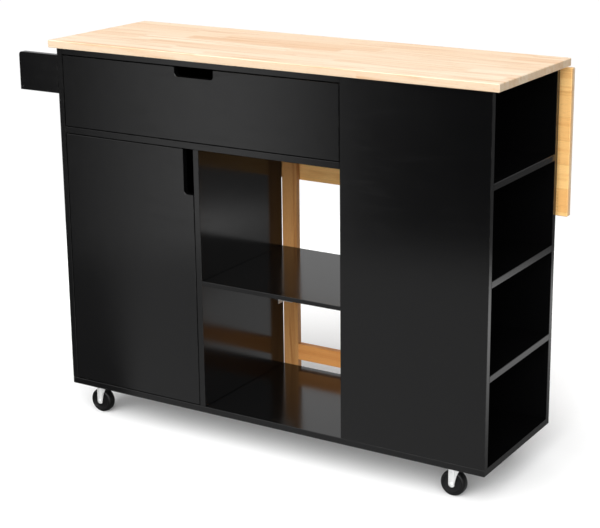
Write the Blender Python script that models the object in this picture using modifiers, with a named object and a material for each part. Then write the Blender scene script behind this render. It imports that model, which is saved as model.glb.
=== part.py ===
"""Kitchen island cart: black panelled cabinet on four swivel casters, with a solid wood worktop.

It has one wide drawer, one door cupboard, an open bay with a shelf, four niches that open to the
right, a rack on the left side, and a drop leaf at the back with a wooden gate leg under it.

Cart coordinates are used below: x runs to the right from the cabinet's left face, y runs back from
its front face, and z runs up from the underside of its bottom panel. place() turns them into world
coordinates, whose origin is on the floor under the middle of the whole cart.
"""
import math

import bmesh
import bpy
from mathutils import Matrix, Vector

# ---- driving dimensions, metres ------------------------------------------------------------------
GAP = 0.0003                 # clearance between faces that touch
CABINET_W = 1.137
CABINET_D = 0.348
CABINET_H = 0.844
BOARD = 0.015                # thickness of the cabinet's panels
THIN_BOARD = 0.005           # back boards and the drawer's bottom
SHELF = 0.010                # loose shelves
EDGE = 0.0008                # small bevel along every panel edge

CUPBOARD_W = 0.373           # clear width behind the door
BAY_W = 0.374                # clear width of the open bay
DRAWER_OPENING = 0.174       # clear height behind the drawer front
LOOSE_SHELF_TOP = 0.328      # height of both loose shelves
CUPBOARD_SHELF_SET_BACK = 0.020
CUPBOARD_SHELF_PLAY = 0.002
RAIL_D = 0.070               # depth of the two stretchers under the worktop
NICHE_SHELVES = 3
REVEAL = 0.002               # gap round the door and the drawer front

TOP_T = 0.018
TOP_LEFT, TOP_RIGHT, TOP_FRONT, TOP_BACK = 0.017, 0.019, 0.011, 0.015
TOP_EDGE = 0.0015

NOTCH_LENGTH = 0.106         # finger notches in the door and the drawer front
NOTCH_DEPTH_DRAWER = 0.022
NOTCH_DEPTH_DOOR = 0.026
NOTCH_RADIUS = 0.008

DRAWER_BOX_D = 0.300
DRAWER_BOX_H = 0.120
DRAWER_WALL = 0.012
DRAWER_BOX_LIFT = 0.015      # from the deck to the drawer box
SLIDE_T = 0.0127             # room for one drawer slide

LEAF_LENGTH = 0.340
LEAF_DROP = 0.006            # leaf hinge axis under the worktop's lower face
LEAF_GAP = 0.001             # joint line between worktop and leaf
LEAF_HINGES = {"left": -0.400, "right": 0.400}   # from the worktop's middle
LEAF_HINGE_W = 0.060

GATE_T = 0.016
GATE_W = 0.3244
GATE_STILE = 0.042
GATE_START = -0.0008         # from the divider's right face to the gate leg
GATE_HORN = 0.030            # stile below the bottom rail
GATE_STAND_OFF = 0.002       # between the cabinet's back and the gate leg
GATE_HEADROOM = 0.002        # between the gate leg and the worktop
GATE_HINGES = {"lower": 0.215, "upper": 0.600}
GATE_HINGE_L = 0.070

RACK_REACH = 0.118
RACK_TOP, RACK_BOTTOM = 0.826, 0.734
RACK_RADIUS = 0.008
RACK_RAIL_H = 0.035
RACK_RAIL_T = 0.012

CASTER_H = 0.080
CASTER_INSET_X, CASTER_INSET_Y = 0.075, 0.046
CASTER_TRAIL = 0.020
WHEEL_R, WHEEL_W = 0.030, 0.022
PLATE_SIZE, PLATE_T = 0.042, 0.0025

# ---- places worked out from them -----------------------------------------------------------------
DIVIDER_X = BOARD + CUPBOARD_W
BAY_X = DIVIDER_X + BOARD
NICHE_WALL_X = BAY_X + BAY_W
MID_TOP = CABINET_H - BOARD - DRAWER_OPENING
MID_BOTTOM = MID_TOP - BOARD
NICHE_PITCH = CABINET_H / (NICHE_SHELVES + 1)
TOP_X0, TOP_X1 = -TOP_LEFT, CABINET_W + TOP_RIGHT
TOP_Y1 = CABINET_D + TOP_BACK
LEAF_AXIS_Y = TOP_Y1 + LEAF_GAP / 2
LEAF_AXIS_Z = CABINET_H - LEAF_DROP
LEAF_OUTER_Y = LEAF_AXIS_Y + LEAF_DROP + TOP_T
GATE_X = BAY_X + GATE_START
GATE_Y = CABINET_D + GATE_STAND_OFF
GATE_TOP = CABINET_H - GATE_HEADROOM
CENTRE_X = (TOP_X1 - RACK_REACH) / 2
CENTRE_Y = (LEAF_OUTER_Y - TOP_FRONT) / 2

SCENE_COLLECTION = bpy.context.scene.collection


def clear_scene():
    for item in list(bpy.data.objects):
        bpy.data.objects.remove(item, do_unlink=True)


def new_collection(name):
    collection = bpy.data.collections.new(name)
    SCENE_COLLECTION.children.link(collection)
    return collection


def place(x, y, z):
    """World position of a point given in cart coordinates."""
    return Vector((x - CENTRE_X, y - CENTRE_Y, z + CASTER_H))


def make_material(name, colour, roughness, metallic=0.0):
    material = bpy.data.materials.new(name)
    material.use_nodes = True
    shader = material.node_tree.nodes["Principled BSDF"]
    shader.inputs["Base Color"].default_value = (*colour, 1.0)
    shader.inputs["Roughness"].default_value = roughness
    shader.inputs["Metallic"].default_value = metallic
    material.diffuse_color = (*colour, 1.0)
    return material


clear_scene()
PARTS = new_collection("kitchen_island_cart")
CUTTERS = new_collection("cutters")


def link(item, material=None, collection=None):
    """Put an object in one collection only and give it its material."""
    for owner in list(item.users_collection):
        owner.objects.unlink(item)
    (collection or PARTS).objects.link(item)
    if material:
        item.data.materials.clear()
        item.data.materials.append(material)
    return item


def own_material(name, kind):
    colour, roughness, metallic = FINISHES[kind]
    return make_material(f"{name}_{kind}", colour, roughness, metallic)


FINISHES = {
    "black_board": ((0.012, 0.012, 0.013), 0.35, 0.0),
    "light_wood": ((0.78, 0.58, 0.36), 0.45, 0.0),
    "gate_wood": ((0.62, 0.40, 0.20), 0.50, 0.0),
    "zinc": ((0.80, 0.80, 0.80), 0.30, 1.0),
    "black_plastic": ((0.02, 0.02, 0.02), 0.45, 0.0),
}


def object_from_bmesh(name, mesh_builder, location):
    mesh = bpy.data.meshes.new(name)
    shape = bmesh.new()
    mesh_builder(shape)
    shape.to_mesh(mesh)
    shape.free()
    item = bpy.data.objects.new(name, mesh)
    item.location = location
    SCENE_COLLECTION.objects.link(item)
    return item


def add_bevel(item, width, segments=1):
    if width > 0:
        bevel = item.modifiers.new("rounded_edges", "BEVEL")
        bevel.width = width
        bevel.segments = segments
        bevel.limit_method = "ANGLE"
        bevel.angle_limit = math.radians(50)


def box(name, low, high, kind, edge=EDGE, origin=None):
    """A board between two corners, both in cart coordinates."""
    low, high = place(*low), place(*high)
    middle = (low + high) / 2
    anchor = place(*origin) if origin else middle

    def build(shape):
        bmesh.ops.create_cube(shape, size=1.0)
        bmesh.ops.scale(shape, vec=high - low, verts=shape.verts)
        bmesh.ops.translate(shape, vec=middle - anchor, verts=shape.verts)

    item = link(object_from_bmesh(name, build, anchor))
    if kind:
        link(item, own_material(name, kind))
    add_bevel(item, edge)
    return item


AXIS_TURN = {
    "x": Matrix.Rotation(math.radians(90), 3, "Y"),
    "y": Matrix.Rotation(math.radians(90), 3, "X"),
    "z": Matrix.Identity(3),
}


def add_rod(shape, centre, axis, radius, length, segments):
    """One closed cylinder added to a bmesh, its middle at centre."""
    made = bmesh.ops.create_cone(
        shape, cap_ends=True, cap_tris=False, segments=segments,
        radius1=radius, radius2=radius, depth=length)
    bmesh.ops.rotate(shape, matrix=AXIS_TURN[axis], verts=made["verts"])
    bmesh.ops.translate(shape, vec=centre, verts=made["verts"])


def rod(name, centre, axis, radius, length, kind, segments=16, origin=None):
    anchor = origin if origin is not None else centre

    def build(shape):
        add_rod(shape, centre - anchor, axis, radius, length, segments)

    item = object_from_bmesh(name, build, anchor)
    link(item)
    if kind:
        link(item, own_material(name, kind))
    item.data.shade_smooth()
    item.data.set_sharp_from_angle(angle=math.radians(40))
    return item


def arc(centre, radius, start, end, steps):
    """Points along an arc, angles in degrees."""
    points = []
    for step in range(steps + 1):
        angle = math.radians(start + (end - start) * step / steps)
        points.append((centre[0] + radius * math.cos(angle), centre[1] + radius * math.sin(angle)))
    return points


def upright_plate(name, outline, thickness, location, kind, edge=EDGE):
    """A flat board facing the front: its outline is in x and z, about location."""
    curve = bpy.data.curves.new(name, "CURVE")
    curve.dimensions = "2D"
    curve.fill_mode = "BOTH"
    curve.extrude = thickness / 2
    spline = curve.splines.new("POLY")
    spline.points.add(len(outline) - 1)
    for point, (u, v) in zip(spline.points, outline):
        point.co = (u, v, 0.0, 1.0)
    spline.use_cyclic_u = True
    flat = bpy.data.objects.new(name + "_outline", curve)
    flat.rotation_euler = (math.radians(90), 0.0, 0.0)
    flat.location = location
    SCENE_COLLECTION.objects.link(flat)
    bpy.context.view_layer.update()
    evaluated = flat.evaluated_get(bpy.context.evaluated_depsgraph_get())
    mesh = bpy.data.meshes.new_from_object(evaluated)
    shape = bmesh.new()
    shape.from_mesh(mesh)
    bmesh.ops.remove_doubles(shape, verts=shape.verts, dist=1e-5)
    shape.to_mesh(mesh)
    shape.free()
    item = bpy.data.objects.new(name, mesh)
    item.matrix_world = flat.matrix_world.copy()
    SCENE_COLLECTION.objects.link(item)
    bpy.data.objects.remove(flat, do_unlink=True)
    link(item)
    if kind:
        link(item, own_material(name, kind))
    add_bevel(item, edge)
    return item


def boolean(item, tool, operation):
    """Cut a tool out of an object or join it on; the tool itself stays hidden."""
    modifier = item.modifiers.new(operation.lower(), "BOOLEAN")
    modifier.operation = operation
    modifier.object = tool
    link(tool, collection=CUTTERS)
    tool.hide_render = True
    tool.display_type = "WIRE"


def turned(name, profile, location, kind, axis="z", steps=32):
    """A turned piece: its profile (radius, height) runs down the outer side, about the axis."""
    mesh = bpy.data.meshes.new(name)
    shape = bmesh.new()
    verts = [shape.verts.new((radius, 0.0, height)) for radius, height in profile]
    for first, second in zip(verts, verts[1:]):
        shape.edges.new((first, second))
    shape.to_mesh(mesh)
    shape.free()
    item = bpy.data.objects.new(name, mesh)
    screw = item.modifiers.new("turn", "SCREW")
    screw.steps = steps
    screw.render_steps = steps
    screw.use_merge_vertices = True
    screw.merge_threshold = 0.0001
    screw.use_smooth_shade = True
    if axis == "y":
        item.rotation_euler = (math.radians(90), 0.0, 0.0)
    item.location = location
    SCENE_COLLECTION.objects.link(item)
    link(item)
    if kind:
        link(item, own_material(name, kind))
    return item


# ---- cabinet -------------------------------------------------------------------------------------
def make_carcass():
    g = GAP
    box("bottom_panel", (0, 0, 0), (CABINET_W, CABINET_D, BOARD), "black_board")
    box("left_side_panel", (0, 0, BOARD + g), (BOARD, CABINET_D, CABINET_H), "black_board")
    box("cupboard_divider", (DIVIDER_X, 0, BOARD + g), (BAY_X, CABINET_D, MID_BOTTOM - g),
        "black_board")
    box("niche_back_wall", (NICHE_WALL_X, BOARD + g, BOARD + g),
        (NICHE_WALL_X + BOARD, CABINET_D, CABINET_H), "black_board")
    box("front_right_panel", (NICHE_WALL_X, 0, BOARD + g), (CABINET_W, BOARD, CABINET_H),
        "black_board")
    box("rear_right_panel", (NICHE_WALL_X + BOARD + g, CABINET_D - BOARD, BOARD + g),
        (CABINET_W, CABINET_D, CABINET_H), "black_board")
    box("drawer_deck", (BOARD + g, 0, MID_BOTTOM), (NICHE_WALL_X - g, CABINET_D, MID_TOP),
        "black_board")
    rail_z = CABINET_H - BOARD
    box("front_top_rail", (BOARD + g, 0, rail_z), (NICHE_WALL_X - g, RAIL_D, CABINET_H),
        "black_board")
    box("rear_top_rail", (BOARD + g, CABINET_D - RAIL_D, rail_z),
        (NICHE_WALL_X - g, CABINET_D, CABINET_H), "black_board")
    box("cupboard_back_board", (BOARD + g, CABINET_D - THIN_BOARD, BOARD + g),
        (DIVIDER_X - g, CABINET_D, MID_BOTTOM - g), "black_board", edge=0)
    box("drawer_bay_back_board", (BOARD + g, CABINET_D - THIN_BOARD, MID_TOP + g),
        (NICHE_WALL_X - g, CABINET_D, rail_z - g), "black_board", edge=0)


def make_shelves():
    g = GAP
    for number, word in zip(range(1, NICHE_SHELVES + 1), ("lower", "middle", "upper")):
        top = BOARD + number * NICHE_PITCH
        box(f"niche_shelf_{word}", (NICHE_WALL_X + BOARD + g, BOARD + g, top - BOARD),
            (CABINET_W, CABINET_D - BOARD - g, top), "black_board")
    low = LOOSE_SHELF_TOP - SHELF
    box("open_bay_shelf", (BAY_X + g, 0, low), (NICHE_WALL_X - g, CABINET_D, LOOSE_SHELF_TOP),
        "black_board")
    back = CABINET_D - THIN_BOARD - CUPBOARD_SHELF_PLAY
    box("cupboard_shelf", (BOARD + g, CUPBOARD_SHELF_SET_BACK, low),
        (DIVIDER_X - g, back, LOOSE_SHELF_TOP), "black_board")


def make_worktop():
    box("worktop", (TOP_X0, -TOP_FRONT, CABINET_H + GAP), (TOP_X1, TOP_Y1, CABINET_H + TOP_T),
        "light_wood", edge=TOP_EDGE)


# ---- drawer --------------------------------------------------------------------------------------
def notch_down(middle, top, length, depth, radius):
    """Outline points of a round-cornered notch cut down into a top edge, left to right."""
    left, right, floor = middle - length / 2, middle + length / 2, top - depth
    points = [(left, top)]
    points += arc((left + radius, floor + radius), radius, 180, 270, 4)
    points += arc((right - radius, floor + radius), radius, 270, 360, 4)
    points.append((right, top))
    return points


def make_drawer():
    g = GAP
    low_x, high_x = BOARD + REVEAL, NICHE_WALL_X - REVEAL
    low_z, high_z = MID_TOP + REVEAL, MID_TOP + DRAWER_OPENING - REVEAL
    middle_x = (low_x + high_x) / 2
    width, height = high_x - low_x, high_z - low_z
    notch = notch_down(0, height / 2, NOTCH_LENGTH, NOTCH_DEPTH_DRAWER, NOTCH_RADIUS)
    outline = [(-width / 2, -height / 2), (-width / 2, height / 2)] + notch
    outline += [(width / 2, height / 2), (width / 2, -height / 2)]
    upright_plate("drawer_front", outline, BOARD, place(middle_x, BOARD / 2, (low_z + high_z) / 2),
                  "black_board")

    y0, y1 = BOARD + g, BOARD + DRAWER_BOX_D
    z0 = MID_TOP + DRAWER_BOX_LIFT
    z1 = z0 + DRAWER_BOX_H
    x0, x1 = BOARD + SLIDE_T, NICHE_WALL_X - SLIDE_T
    box("drawer_left_side", (x0, y0, z0), (x0 + DRAWER_WALL, y1, z1), "black_board")
    box("drawer_right_side", (x1 - DRAWER_WALL, y0, z0), (x1, y1, z1), "black_board")
    box("drawer_back", (x0 + DRAWER_WALL + g, y1 - DRAWER_WALL, z0), (x1 - DRAWER_WALL - g, y1, z1),
        "black_board")
    box("drawer_bottom", (x0 + DRAWER_WALL + g, y0, z0),
        (x1 - DRAWER_WALL - g, y1 - DRAWER_WALL - g, z0 + THIN_BOARD), "black_board", edge=0)
    return x0, x1, (z0 + z1) / 2


SLIDE_H = 0.042
SLIDE_CHANNEL_H = 0.034
SLIDE_OUTER_T = 0.0095
SLIDE_WEB = 0.0018
SLIDE_L = 0.290
SLIDE_SET_BACK = 0.020
SLIDE_PLAY = 0.001           # between rail and channel
SLOT_PAST = 0.002            # how far the slot's cutter runs past the channel's open side
SLOT_PAST_END = 0.010


def make_slides(x0, x1, z):
    """Channel members on the cabinet, rail members on the drawer's sides."""
    g = GAP
    y0, y1 = SLIDE_SET_BACK, SLIDE_SET_BACK + SLIDE_L
    for word, face, way in (("left", BOARD, 1), ("right", NICHE_WALL_X, -1)):
        near, far = face + way * g, face + way * (g + SLIDE_OUTER_T)
        outer = box(f"slide_channel_{word}", (min(near, far), y0, z - SLIDE_H / 2),
                    (max(near, far), y1, z + SLIDE_H / 2), "zinc", edge=0)
        web = face + way * (g + SLIDE_WEB)
        past = far + way * SLOT_PAST
        slot_half = SLIDE_CHANNEL_H / 2
        slot = box(f"slide_slot_{word}", (min(web, past), y0 - SLOT_PAST_END, z - slot_half),
                   (max(web, past), y1 + SLOT_PAST_END, z + slot_half), None, edge=0)
        boolean(outer, slot, "DIFFERENCE")
        drawer_face = x0 if way > 0 else x1
        rail_out, rail_in = web + way * SLIDE_PLAY, drawer_face - way * g
        rail_half = slot_half - SLIDE_PLAY
        box(f"slide_rail_{word}", (min(rail_out, rail_in), y0, z - rail_half),
            (max(rail_out, rail_in), y1, z + rail_half), "zinc", edge=0)


# ---- door ----------------------------------------------------------------------------------------
CUP_R, CUP_DEPTH = 0.0175, 0.0115
CUP_FROM_EDGE = 0.0225
CUP_WALL = 0.0012
DOOR_HINGES = {"lower": 0.100, "upper": 0.548}
DOOR_X0, DOOR_X1 = BOARD + REVEAL, DIVIDER_X - REVEAL
DOOR_Z0, DOOR_Z1 = BOARD + REVEAL, MID_BOTTOM - REVEAL
CUP_X = DOOR_X0 + CUP_FROM_EDGE
ARM_PLATE_T, ARM_PLATE_HALF_H = 0.0015, 0.024
ARM_PLATE_Y0, ARM_PLATE_Y1 = 0.028, 0.060
ARM_BODY_X0, ARM_BODY_X1, ARM_BODY_HALF_H = 0.001, 0.013, 0.006
ARM_BODY_Y0, ARM_BODY_Y1 = 0.017, 0.085
ARM_LINK_X0, ARM_LINK_HALF_H = 0.0105, 0.004
ARM_LINK_Y0, ARM_LINK_Y1 = 0.0158, 0.0205   # stays clear of the door as it turns
ARM_TIP = 0.020              # from the door's left edge


def make_door():
    right, top = (DOOR_X1 - DOOR_X0) / 2, (DOOR_Z1 - DOOR_Z0) / 2
    inner, floor = right - NOTCH_DEPTH_DOOR, top - NOTCH_LENGTH
    outline = [(-right, -top), (-right, top), (inner, top)]
    outline += arc((inner + NOTCH_RADIUS, floor + NOTCH_RADIUS), NOTCH_RADIUS, 180, 270, 4)
    outline += [(right, floor), (right, -top)]
    middle = place((DOOR_X0 + DOOR_X1) / 2, BOARD / 2, (DOOR_Z0 + DOOR_Z1) / 2)
    door = upright_plate("door_panel", outline, BOARD, middle, "black_board")
    for word, z in DOOR_HINGES.items():
        pocket = rod(f"hinge_pocket_{word}", place(CUP_X, BOARD, z), "y", CUP_R + GAP,
                     2 * (CUP_DEPTH + GAP), None, segments=24)
        boolean(door, pocket, "DIFFERENCE")


def make_door_hinge(word, z):
    """Concealed hinge: a cup let into the door, and an arm with its base plate on the cabinet."""
    cup = rod(f"door_hinge_cup_{word}", place(CUP_X, BOARD - CUP_DEPTH / 2, z), "y", CUP_R, CUP_DEPTH,
              "zinc", segments=24)
    hollow = rod(f"cup_hollow_{word}", place(CUP_X, BOARD - CUP_DEPTH / 2 + CUP_WALL, z), "y",
                 CUP_R - CUP_WALL, CUP_DEPTH, None, segments=24)
    boolean(cup, hollow, "DIFFERENCE")
    face = BOARD + GAP
    arm = box(f"door_hinge_arm_{word}", (face, ARM_PLATE_Y0, z - ARM_PLATE_HALF_H),
              (face + ARM_PLATE_T, ARM_PLATE_Y1, z + ARM_PLATE_HALF_H), "zinc", edge=0)
    body = box(f"arm_body_{word}", (face + ARM_BODY_X0, ARM_BODY_Y0, z - ARM_BODY_HALF_H),
               (face + ARM_BODY_X1, ARM_BODY_Y1, z + ARM_BODY_HALF_H), None, edge=0)
    link_bar = box(f"arm_link_{word}", (face + ARM_LINK_X0, ARM_LINK_Y0, z - ARM_LINK_HALF_H),
                   (DOOR_X0 + ARM_TIP, ARM_LINK_Y1, z + ARM_LINK_HALF_H), None, edge=0)
    boolean(arm, body, "UNION")
    boolean(arm, link_bar, "UNION")


# ---- drop leaf -----------------------------------------------------------------------------------
KNUCKLE_R = 0.0052
KNUCKLE_BORE = 0.0021
LEAF_PIN_R = 0.0018
HINGE_PLATE_T = 0.0012
FIXED_PLATE_L, MOVING_PLATE_L = 0.014, 0.026
KNUCKLES = 3
PLATE_TO_KNUCKLE = 0.0006
NECK_OVERLAP = 0.002
NECK_PAST_AXIS = 0.001
PIN_END = 0.001              # pin's end inside the last knuckle


def make_drop_leaf():
    top = LEAF_AXIS_Z - LEAF_GAP / 2
    box("drop_leaf", (TOP_X0, LEAF_AXIS_Y + LEAF_DROP, top - LEAF_LENGTH),
        (TOP_X1, LEAF_OUTER_Y, top), "light_wood", edge=TOP_EDGE,
        origin=(CENTRE_X, LEAF_AXIS_Y, LEAF_AXIS_Z))


def make_leaf_hinge(word, x):
    """Butt hinge: a plate with two knuckles and the pin on the worktop, one knuckle on the leaf."""
    step = LEAF_HINGE_W / KNUCKLES
    half = (step - GAP) / 2
    y, z = LEAF_AXIS_Y, LEAF_AXIS_Z
    reach = KNUCKLE_R + PLATE_TO_KNUCKLE
    z1 = CABINET_H - GAP
    z0 = z1 - HINGE_PLATE_T
    fixed = box(f"leaf_hinge_fixed_{word}", (x - LEAF_HINGE_W / 2, y - FIXED_PLATE_L, z0),
                (x + LEAF_HINGE_W / 2, y - reach, z1), "zinc", edge=0)
    for side in (-1, 1):
        middle = x + side * step
        neck = box(f"fixed_neck_{word}_{side}", (middle - half, y - reach - NECK_OVERLAP, z0),
                   (middle + half, y - NECK_PAST_AXIS, z1), None, edge=0)
        boolean(fixed, neck, "UNION")
        knuckle = rod(f"fixed_knuckle_{word}_{side}", place(middle, y, z), "x", KNUCKLE_R, 2 * half,
                      None, segments=12)
        boolean(fixed, knuckle, "UNION")
    pin = rod(f"leaf_pin_{word}", place(x, y, z), "x", LEAF_PIN_R,
              LEAF_HINGE_W - 2 * PIN_END, None,
              segments=12)
    boolean(fixed, pin, "UNION")

    y1 = y + LEAF_DROP - GAP
    y0 = y1 - HINGE_PLATE_T
    moving = box(f"leaf_hinge_moving_{word}", (x - LEAF_HINGE_W / 2, y0, z - MOVING_PLATE_L),
                 (x + LEAF_HINGE_W / 2, y1, z - reach), "zinc", edge=0)
    neck = box(f"moving_neck_{word}", (x - half, y0, z - reach - NECK_OVERLAP),
               (x + half, y1, z - NECK_PAST_AXIS), None, edge=0)
    boolean(moving, neck, "UNION")
    knuckle = rod(f"moving_knuckle_{word}", place(x, y, z), "x", KNUCKLE_R, 2 * half, None,
                  segments=12)
    boolean(moving, knuckle, "UNION")
    bore = rod(f"leaf_bore_{word}", place(x, y, z), "x", KNUCKLE_BORE, LEAF_HINGE_W, None, segments=12)
    boolean(moving, bore, "DIFFERENCE")


# ---- gate leg ------------------------------------------------------------------------------------
GATE_AXIS_X = BAY_X + 0.0025
GATE_AXIS_Y = CABINET_D - 0.0004
GATE_KNUCKLE_R = 0.0021
GATE_BORE = 0.0012
GATE_PIN_R = 0.0009
GATE_LEAF_L = 0.024
GATE_NECK_PAST_AXIS = 0.0008


def make_gate_leg():
    g = GAP
    x0, x1 = GATE_X, GATE_X + GATE_W
    y0, y1 = GATE_Y, GATE_Y + GATE_T
    z0, z1 = 0.0, GATE_TOP
    pivot = (GATE_AXIS_X, GATE_AXIS_Y, 0)
    box("gate_hinge_stile", (x0, y0, z0), (x0 + GATE_STILE, y1, z1), "gate_wood", origin=pivot)
    box("gate_free_stile", (x1 - GATE_STILE, y0, z0), (x1, y1, z1), "gate_wood", origin=pivot)
    inner0, inner1 = x0 + GATE_STILE + g, x1 - GATE_STILE - g
    box("gate_bottom_rail", (inner0, y0, z0 + GATE_HORN), (inner1, y1, z0 + GATE_HORN + GATE_STILE),
        "gate_wood", origin=pivot)
    box("gate_top_rail", (inner0, y0, z1 - GATE_STILE), (inner1, y1, z1), "gate_wood", origin=pivot)


def make_gate_hinge(word, z):
    """Butt hinge: one leaf and the pin on the divider's right face, one leaf on the gate leg."""
    step = GATE_HINGE_L / KNUCKLES
    half = (step - GAP) / 2
    x, y, t = GATE_AXIS_X, GATE_AXIS_Y, HINGE_PLATE_T
    reach = GATE_KNUCKLE_R + PLATE_TO_KNUCKLE
    x0 = BAY_X + GAP
    z0, z1 = z - GATE_HINGE_L / 2, z + GATE_HINGE_L / 2
    fixed = box(f"gate_hinge_fixed_{word}", (x0, y - GATE_LEAF_L, z0), (x0 + t, y - reach, z1), "zinc",
                edge=0)
    for side in (-1, 1):
        middle = z + side * step
        neck = box(f"gate_fixed_neck_{word}_{side}", (x0, y - reach - NECK_OVERLAP, middle - half),
                   (x0 + t, y - GATE_NECK_PAST_AXIS, middle + half), None, edge=0)
        boolean(fixed, neck, "UNION")
        knuckle = rod(f"gate_fixed_knuckle_{word}_{side}", place(x, y, middle), "z", GATE_KNUCKLE_R,
                      2 * half, None, segments=12)
        boolean(fixed, knuckle, "UNION")
    pin = rod(f"gate_pin_{word}", place(x, y, z), "z", GATE_PIN_R,
              GATE_HINGE_L - 2 * PIN_END, None, segments=12)
    boolean(fixed, pin, "UNION")

    y1 = GATE_Y - GAP
    y0 = y1 - t
    moving = box(f"gate_hinge_moving_{word}", (x + reach, y0, z0), (x + GATE_LEAF_L, y1, z1), "zinc",
                 edge=0)
    neck = box(f"gate_moving_neck_{word}", (x + GATE_NECK_PAST_AXIS, y0, z - half),
               (x + reach + NECK_OVERLAP, y1, z + half), None, edge=0)
    boolean(moving, neck, "UNION")
    knuckle = rod(f"gate_moving_knuckle_{word}", place(x, y, z), "z", GATE_KNUCKLE_R, 2 * half, None,
                  segments=12)
    boolean(moving, knuckle, "UNION")
    bore = rod(f"gate_bore_{word}", place(x, y, z), "z", GATE_BORE, GATE_HINGE_L, None, segments=12)
    boolean(moving, bore, "DIFFERENCE")


# ---- rack on the left side -----------------------------------------------------------------------
def make_rack():
    g = GAP
    height = RACK_TOP - RACK_BOTTOM
    width = RACK_REACH - g
    outline = [(-width / 2, -height / 2)]
    corner = (-width / 2 + RACK_RADIUS, height / 2 - RACK_RADIUS)
    outline += arc(corner, RACK_RADIUS, 180, 90, 5)
    outline += [(width / 2, height / 2), (width / 2, -height / 2)]
    middle_x, middle_z = -g - width / 2, (RACK_TOP + RACK_BOTTOM) / 2
    for word, y in (("front", BOARD / 2), ("rear", CABINET_D - BOARD / 2)):
        upright_plate(f"rack_{word}_plate", outline, BOARD, place(middle_x, y, middle_z),
                      "black_board")
    y0, y1 = BOARD + g, CABINET_D - BOARD - g
    box("rack_bottom_board", (-RACK_REACH, y0, RACK_BOTTOM), (-g, y1, RACK_BOTTOM + BOARD),
        "black_board")
    z0 = RACK_BOTTOM + BOARD + g
    box("rack_outer_rail", (-RACK_REACH, y0, z0), (-RACK_REACH + RACK_RAIL_T, y1, z0 + RACK_RAIL_H),
        "black_board")


# ---- casters -------------------------------------------------------------------------------------
KINGPIN_R = 0.0040
KINGPIN_HEAD_R = 0.0075
KINGPIN_HEAD_T = 0.0030
KINGPIN_DROP = 0.0125
FORK_TOP_Z = -0.0036          # upper face of the fork's crown
FORK_T = 0.0022
FORK_INNER = 0.0125           # from the wheel's middle plane to each leg
AXLE_R = 0.0030
RIVET_R, RIVET_T = 0.0048, 0.0016
AXLE_Z = WHEEL_R - CASTER_H
LEG_END_R = 0.0085
CROWN_FRONT = 0.016           # from the swivel axis
LEG_INTO_CROWN = 0.001
LEG_FRONT = [(0.006, -0.030), (CROWN_FRONT, -0.018)]   # the leg's swept front edge
SWIVEL_PLAY = 0.0005
HOLE_CUTTER_L = 0.020
AXLE_PLAY = 0.0004
HUB_R, HUB_HALF_W = 0.0075, 0.0118
WEB_R, WEB_HALF_W = 0.0210, 0.0085
WHEEL_DRAFT = 0.001           # slope of the wheel's steps
TYRE_EDGE = 0.004


def caster_spots():
    for x_word, x in (("left", CASTER_INSET_X), ("right", CABINET_W - CASTER_INSET_X)):
        for y_word, y in (("front", CASTER_INSET_Y), ("rear", CABINET_D - CASTER_INSET_Y)):
            yield f"{y_word}_{x_word}", x, y


def make_caster_plate(word, x, y):
    """Mounting plate with its riveted kingpin."""
    half = PLATE_SIZE / 2
    plate = box(f"caster_plate_{word}", (x - half, y - half, -GAP - PLATE_T),
                (x + half, y + half, -GAP), "zinc", edge=0)
    pin_top = -GAP - PLATE_T / 2
    pin = rod(f"kingpin_{word}", place(x, y, (pin_top - KINGPIN_DROP) / 2), "z", KINGPIN_R,
              pin_top + KINGPIN_DROP, None)
    boolean(plate, pin, "UNION")
    head = rod(f"kingpin_head_{word}", place(x, y, -KINGPIN_DROP + KINGPIN_HEAD_T / 2), "z",
               KINGPIN_HEAD_R, KINGPIN_HEAD_T, None)
    boolean(plate, head, "UNION")


def make_fork(word, x, y):
    """Crown plate with two swept legs and the riveted axle; its origin is on the swivel axis."""
    axle_x = -CASTER_TRAIL
    left = axle_x - LEG_END_R
    crown_low = FORK_TOP_Z - FORK_T
    leg_top = crown_low + LEG_INTO_CROWN
    leg_outline = [(CROWN_FRONT, leg_top), (left, leg_top), (left, AXLE_Z)]
    leg_outline += arc((axle_x, AXLE_Z), LEG_END_R, 180, 330, 8)[1:]
    leg_outline += LEG_FRONT
    leg_y = FORK_INNER + FORK_T / 2
    crown = box(f"caster_fork_{word}", (x + left, y - leg_y - FORK_T / 2, crown_low),
                (x + CROWN_FRONT, y + leg_y + FORK_T / 2, FORK_TOP_Z), "zinc", edge=0, origin=(x, y, 0))
    for side in (-1, 1):
        leg = upright_plate(f"fork_leg_{word}_{side}", leg_outline, FORK_T,
                            place(x, y + side * leg_y, 0), None, edge=0)
        boolean(crown, leg, "UNION")
    hole = rod(f"kingpin_hole_{word}", place(x, y, crown_low), "z", KINGPIN_R + SWIVEL_PLAY,
               HOLE_CUTTER_L, None)
    boolean(crown, hole, "DIFFERENCE")
    axle = rod(f"axle_{word}", place(x + axle_x, y, AXLE_Z), "y", AXLE_R,
               2 * (FORK_INNER + FORK_T), None)
    boolean(crown, axle, "UNION")
    for side in (-1, 1):
        rivet = rod(f"rivet_{word}_{side}", place(x + axle_x, y + side * (leg_y + RIVET_T / 2), AXLE_Z),
                    "y", RIVET_R, FORK_T + RIVET_T, None)
        boolean(crown, rivet, "UNION")


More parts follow.
